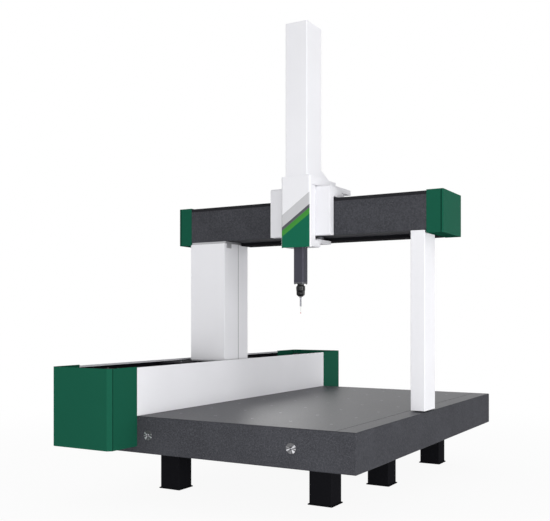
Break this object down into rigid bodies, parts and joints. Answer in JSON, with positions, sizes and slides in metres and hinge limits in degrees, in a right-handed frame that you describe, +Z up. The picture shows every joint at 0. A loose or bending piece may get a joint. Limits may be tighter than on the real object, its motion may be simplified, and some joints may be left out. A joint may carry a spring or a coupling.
{
  "type": "coordinate measuring machine",
  "caption": "Moving-bridge coordinate measuring machine: granite table, tall bridge on a raised side guide, carriage with Z column and ram, turning and tilting probe head.",
  "frame": {"origin": "on the floor, below the middle of the granite table", "axes": "+X to the operator's right along the bridge beam, +Y away from the operator along the guide rail, +Z up"},
  "size_m": [2.509, 4.121, 3.883],
  "materials": {
    "granite": "fine-ground dark grey granite",
    "white_paint": "satin off-white powder coat",
    "green_paint": "satin dark green powder coat",
    "black_steel": "matt black paint",
    "light_casting": "anodised, fine satin",
    "bright_steel": "ground steel",
    "polished_plug": "bright plated",
    "bearing_pad": "fine-turned",
    "belt_rubber": "matt",
    "stop_rubber": "matt",
    "motor_black": "satin black",
    "ram_coat": "hard-anodised grey",
    "head_grey": "satin anodised",
    "probe_dark": "satin black",
    "stem_white": "smooth ceramic stem",
    "ruby": "polished ruby",
    "leg_black": "matt black paint over steel"
  },
  "bodies": {
    "base": {"granite_table": "granite", "thread_inserts": "bright_steel", "lifting_plugs": "polished_plug", "support_legs": "leg_black", "y_guide_rail": "granite", "inner_trough_panel": "white_paint", "outer_trough_panel": "white_paint", "near_trough_cover": "green_paint", "far_trough_cover": "green_paint", "y_scale": "bright_steel", "y_end_stops": "stop_rubber", "y_belt": "belt_rubber", "y_pulley_brackets": "light_casting", "y_motor": "motor_black"},
    "y_drive_pulley": {"y_drive_pulley": "bright_steel"},
    "y_idler_pulley": {"y_idler_pulley": "bright_steel"},
    "bridge": {"bridge_saddle": "black_steel", "saddle_bearings": "bearing_pad", "y_belt_clamp": "light_casting", "left_leg_core": "light_casting", "left_leg_front_cover": "white_paint", "left_leg_rear_cover": "white_paint", "left_leg_head_plate": "light_casting", "right_leg": "white_paint", "right_leg_shoe": "black_steel", "beam": "granite", "beam_scale_strip": "black_steel", "beam_tray": "black_steel", "beam_end_cover_left": "green_paint", "beam_end_cover_right": "green_paint", "x_belt": "belt_rubber", "x_pulley_brackets": "light_casting", "x_motor": "motor_black"},
    "x_drive_pulley": {"x_drive_pulley": "bright_steel"},
    "x_idler_pulley": {"x_idler_pulley": "bright_steel"},
    "carriage": {"carriage_frame": "white_paint", "z_housing": "white_paint", "carriage_bottom_arm": "white_paint", "carriage_tower_base": "white_paint", "carriage_rear_plate": "white_paint", "carriage_bearings": "bearing_pad", "z_bearings": "bearing_pad", "front_cover": "white_paint", "column_cover": "white_paint", "column_frame": "light_casting", "column_brace": "white_paint", "counterbalance_piston": "bright_steel", "z_motor": "motor_black", "z_belt": "belt_rubber"},
    "z_drive_pulley": {"z_drive_pulley": "bright_steel"},
    "z_idler_pulley": {"z_idler_pulley": "bright_steel"},
    "ram": {"ram": "ram_coat", "ram_end_plate": "bright_steel", "ram_top_bracket": "light_casting", "head_body": "head_grey"},
    "head_swivel": {"head_swivel": "head_grey"},
    "probe": {"head_knuckle": "head_grey", "probe_body": "probe_dark", "stylus": "stem_white", "ruby_tip": "ruby"}
  },
  "joints": [
    {"name": "bridge_slide", "type": "slide", "parent": "base", "child": "bridge", "axis": [0, 1, 0], "range_m": [-0.91, 1.09]},
    {"name": "y_drive_spin", "type": "hinge", "parent": "base", "child": "y_drive_pulley", "pos_m": [-1.1505, 1.77, 0.86], "axis": [1, 0, 0], "range_deg": [-1510, 1260]},
    {"name": "y_idler_spin", "type": "hinge", "parent": "base", "child": "y_idler_pulley", "pos_m": [-1.1505, -1.77, 0.86], "axis": [1, 0, 0], "range_deg": [-1510, 1260]},
    {"name": "carriage_slide", "type": "slide", "parent": "bridge", "child": "carriage", "axis": [1, 0, 0], "range_m": [-0.7, 0.8]},
    {"name": "x_drive_spin", "type": "hinge", "parent": "bridge", "child": "x_drive_pulley", "pos_m": [-1.12, 0.171, 2.275], "axis": [0, 1, 0], "range_deg": [-1280, 1460]},
    {"name": "x_idler_spin", "type": "hinge", "parent": "bridge", "child": "x_idler_pulley", "pos_m": [1.287, 0.171, 2.275], "axis": [0, 1, 0], "range_deg": [-1280, 1460]},
    {"name": "ram_slide", "type": "slide", "parent": "carriage", "child": "ram", "axis": [0, 0, 1], "range_m": [-0.776, 0.424]},
    {"name": "z_drive_spin", "type": "hinge", "parent": "carriage", "child": "z_drive_pulley", "pos_m": [0.147, -0.2373, 2.642], "axis": [0, 1, 0], "range_deg": [-1670, 920]},
    {"name": "z_idler_spin", "type": "hinge", "parent": "carriage", "child": "z_idler_pulley", "pos_m": [0.147, -0.2373, 3.818], "axis": [0, 1, 0], "range_deg": [-1670, 920]},
    {"name": "head_turn", "type": "hinge", "parent": "ram", "child": "head_swivel", "pos_m": [0.147, -0.405, 1.645], "axis": [0, 0, 1], "range_deg": [-180, 180]},
    {"name": "head_tilt", "type": "hinge", "parent": "head_swivel", "child": "probe", "pos_m": [0.147, -0.405, 1.623], "axis": [1, 0, 0], "range_deg": [-105, 0]}
  ],
  "couplings": [
    {"joint": "y_drive_spin", "follows": "bridge_slide", "rad_per_m": -23.923},
    {"joint": "y_idler_spin", "follows": "bridge_slide", "rad_per_m": -23.923},
    {"joint": "x_drive_spin", "follows": "carriage_slide", "rad_per_m": 31.447},
    {"joint": "x_idler_spin", "follows": "carriage_slide", "rad_per_m": 31.447},
    {"joint": "z_drive_spin", "follows": "ram_slide", "rad_per_m": 37.313},
    {"joint": "z_idler_spin", "follows": "ram_slide", "rad_per_m": 37.313}
  ]
}
